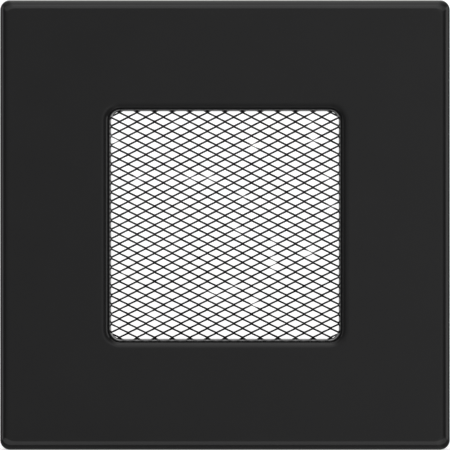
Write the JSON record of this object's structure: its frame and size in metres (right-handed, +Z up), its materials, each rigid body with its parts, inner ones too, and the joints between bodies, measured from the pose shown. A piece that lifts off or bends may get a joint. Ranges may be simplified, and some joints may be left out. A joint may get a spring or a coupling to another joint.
{
  "type": "ventilation grille",
  "caption": "Square black steel wall ventilation grille with an expanded-metal mesh window, held in its wall frame by leaf springs.",
  "frame": {"origin": "centre of the circle of wall screw holes, on the wall plane (the back of the wall frame's flange)", "axes": "+Y into the wall, so the front plate faces -Y; +Z up; +X to the right as seen from the front"},
  "size_m": [0.11, 0.037, 0.11],
  "materials": {
    "plate_coating": "satin black powder coat",
    "mesh_coating": "satin black coat",
    "inner_coating": "satin black powder coat, thin on the inside",
    "spring_steel": "bare rolled spring steel",
    "rivet_metal": "bare",
    "galvanised_steel": "galvanised, spangled"
  },
  "bodies": {
    "wall_frame": {"wall_frame": "galvanised_steel", "wall_frame_rivets": "rivet_metal"},
    "cover": {"front_plate": "plate_coating", "mesh_panel": "mesh_coating", "mesh_clamp_frame": "inner_coating", "rail_right": "inner_coating", "spring_foot_right": "spring_steel", "spring_rivets_right": "rivet_metal", "rail_top": "inner_coating", "spring_foot_top": "spring_steel", "spring_rivets_top": "rivet_metal", "rail_left": "inner_coating", "spring_foot_left": "spring_steel", "spring_rivets_left": "rivet_metal", "rail_bottom": "inner_coating", "spring_foot_bottom": "spring_steel", "spring_rivets_bottom": "rivet_metal"},
    "leaf_right": {"spring_leaf_right": "spring_steel"},
    "leaf_top": {"spring_leaf_top": "spring_steel"},
    "leaf_left": {"spring_leaf_left": "spring_steel"},
    "leaf_bottom": {"spring_leaf_bottom": "spring_steel"}
  },
  "joints": [
    {"name": "cover_pull", "type": "slide", "parent": "wall_frame", "child": "cover", "axis": [0, -1, 0], "range_m": [0, 0.03]},
    {"name": "leaf_right_flex", "type": "hinge", "parent": "cover", "child": "leaf_right", "pos_m": [0.03525, 0.0158, 0], "axis": [0, 0, -1], "range_deg": [0, 6], "stiffness_Nm_per_rad": 1, "springref_deg": -2.01},
    {"name": "leaf_top_flex", "type": "hinge", "parent": "cover", "child": "leaf_top", "pos_m": [0, 0.0158, 0.03525], "axis": [1, 0, 0], "range_deg": [0, 6], "stiffness_Nm_per_rad": 1, "springref_deg": -2.01},
    {"name": "leaf_left_flex", "type": "hinge", "parent": "cover", "child": "leaf_left", "pos_m": [-0.03525, 0.0158, 0], "axis": [0, 0, 1], "range_deg": [0, 6], "stiffness_Nm_per_rad": 1, "springref_deg": -2.01},
    {"name": "leaf_bottom_flex", "type": "hinge", "parent": "cover", "child": "leaf_bottom", "pos_m": [0, 0.0158, -0.03525], "axis": [-1, 0, 0], "range_deg": [0, 6], "stiffness_Nm_per_rad": 1, "springref_deg": -2.01}
  ]
}
